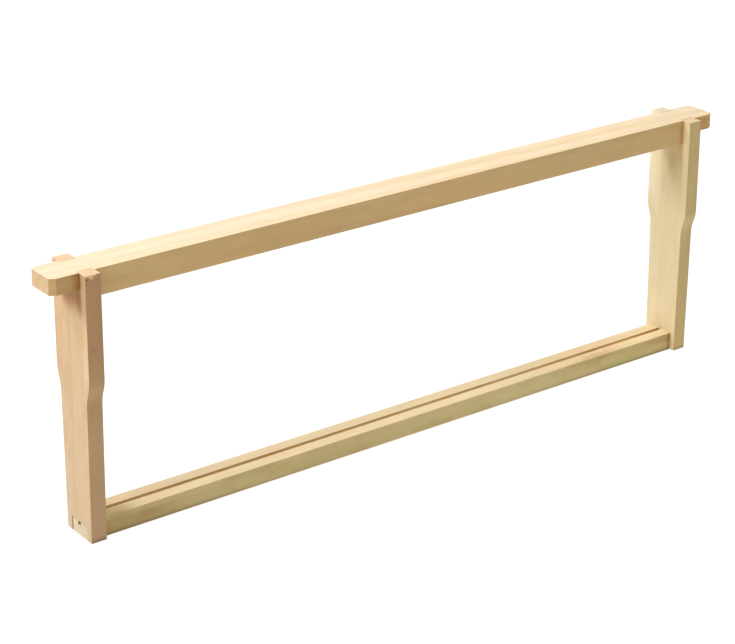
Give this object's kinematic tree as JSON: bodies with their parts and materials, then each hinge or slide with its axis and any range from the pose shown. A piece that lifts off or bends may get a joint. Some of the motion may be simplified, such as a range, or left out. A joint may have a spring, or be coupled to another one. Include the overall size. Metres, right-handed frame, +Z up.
{
  "type": "hive frame",
  "caption": "Self-spacing wooden hive frame: a top bar with lugs, forked side bars with wide heads and curved shoulders, and a grooved bottom bar.",
  "frame": {"origin": "middle of the frame on the plane that its feet and bottom bar stand on", "axes": "+X along the bars, +Y from the front face to the back one, +Z up"},
  "size_m": [0.4826, 0.035, 0.159],
  "materials": {
    "top_bar_pine": "bare planed softwood",
    "side_bar_pine": "bare planed softwood",
    "bottom_bar_pine": "bare planed softwood",
    "brad_steel": "dull bright wire"
  },
  "bodies": {
    "root": {"top_bar": "top_bar_pine", "left_side_bar": "side_bar_pine", "right_side_bar": "side_bar_pine", "bottom_bar": "bottom_bar_pine", "left_fork_brad": "brad_steel", "left_lug_brad": "brad_steel", "left_bottom_brad_front": "brad_steel", "left_bottom_brad_back": "brad_steel", "right_fork_brad": "brad_steel", "right_lug_brad": "brad_steel", "right_bottom_brad_front": "brad_steel", "right_bottom_brad_back": "brad_steel"}
  },
  "joints": []
}
